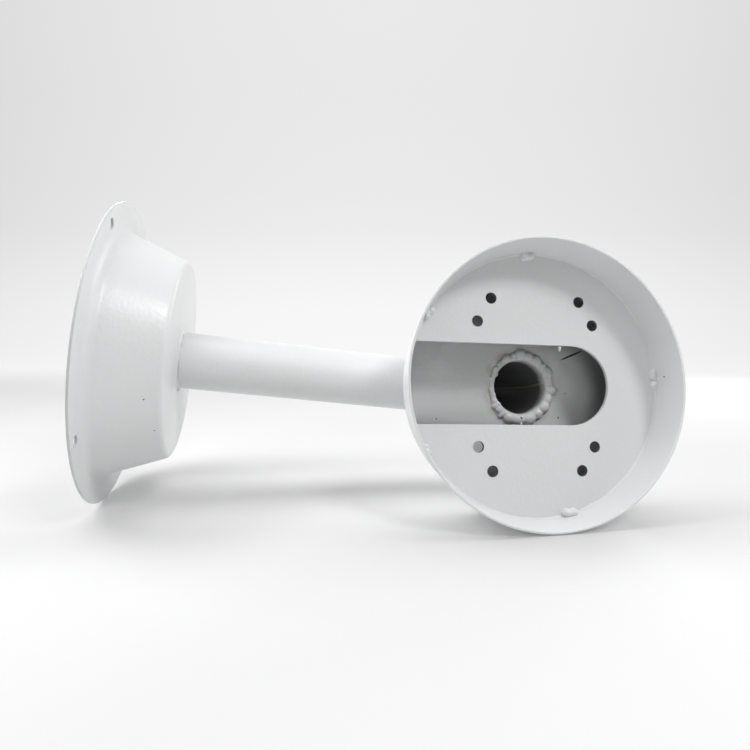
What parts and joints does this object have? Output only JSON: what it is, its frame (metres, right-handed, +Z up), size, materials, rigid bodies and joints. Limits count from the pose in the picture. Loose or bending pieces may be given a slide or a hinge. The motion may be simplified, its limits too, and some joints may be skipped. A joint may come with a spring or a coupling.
{
  "type": "camera wall bracket",
  "caption": "White welded steel wall bracket for a dome camera: round wall cup, bent tube arm and a shallow camera cup with a drilled, slotted plate.",
  "frame": {"origin": "on the wall, in the middle of the wall cup and its four bolt holes", "axes": "+X out of the wall along the arm, +Z up, and the camera cup opens towards -Z"},
  "size_m": [0.2754, 0.155, 0.1575],
  "materials": {
    "white_paint": "satin white powder coat"
  },
  "bodies": {
    "root": {"wall_cup": "white_paint", "arm_tube": "white_paint", "camera_cup": "white_paint", "camera_plate": "white_paint", "cup_weld": "white_paint", "wall_weld": "white_paint", "seam_bead": "white_paint", "plate_tacks": "white_paint"}
  },
  "joints": []
}
